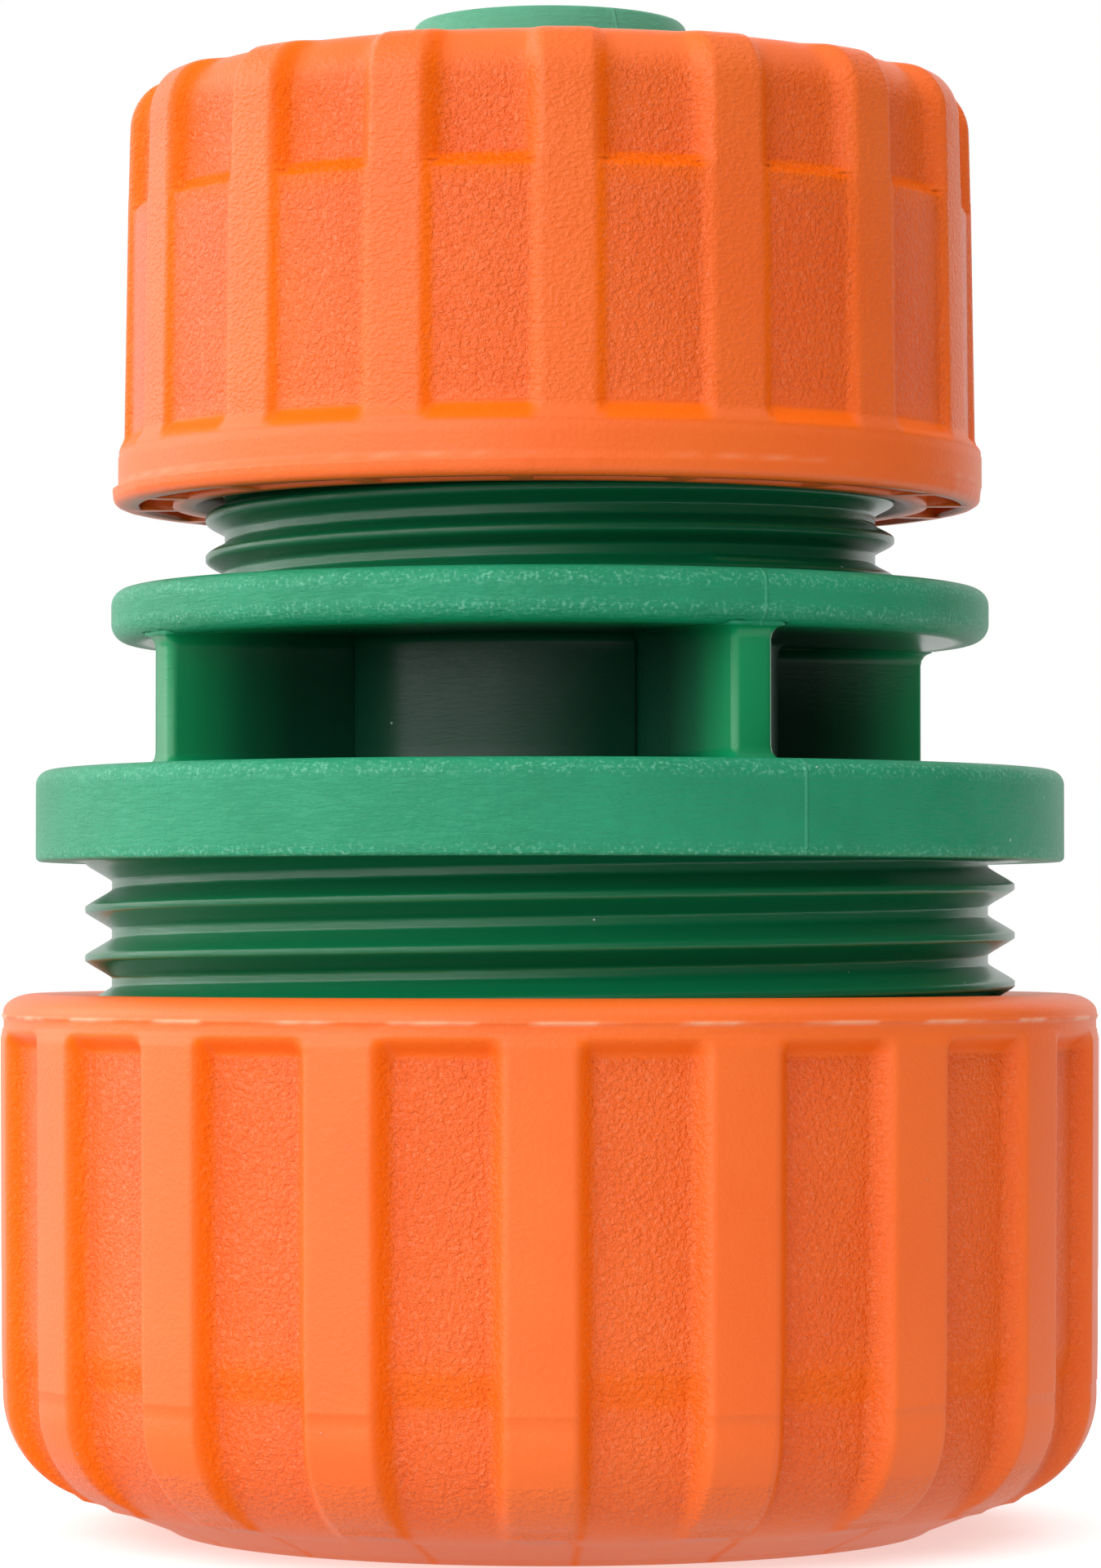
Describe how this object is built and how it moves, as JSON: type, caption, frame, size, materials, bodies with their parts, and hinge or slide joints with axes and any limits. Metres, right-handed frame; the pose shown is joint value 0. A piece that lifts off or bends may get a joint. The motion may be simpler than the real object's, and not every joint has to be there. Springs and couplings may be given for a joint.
{
  "type": "hose mender",
  "caption": "Reducing hose mender: a moulded body with ringed tails, threaded collars and claws at both ends, closed by ribbed screw nuts.",
  "frame": {"origin": "on the common axis, at the end face of the large nut that the part stands on", "axes": "+Z along the axis from the large end to the small end; -Y towards the side that the picture shows"},
  "size_m": [0.041, 0.0412, 0.0565],
  "materials": {
    "green_plastic": "satin moulded",
    "orange_plastic": "satin moulded, finely grained between the ribs"
  },
  "bodies": {
    "body": {"body": "green_plastic"},
    "small_nut": {"small_nut": "orange_plastic"},
    "large_nut": {"large_nut": "orange_plastic"}
  },
  "joints": [
    {"name": "small_nut_turn", "type": "hinge", "parent": "body", "child": "small_nut", "pos_m": [0, 0, 0.0463], "axis": [0, 0, 1], "range_deg": [-800, 1700]},
    {"name": "large_nut_turn", "type": "hinge", "parent": "body", "child": "large_nut", "pos_m": [0, 0, 0.01], "axis": [0, 0, -1], "range_deg": [-950, 1700]}
  ]
}
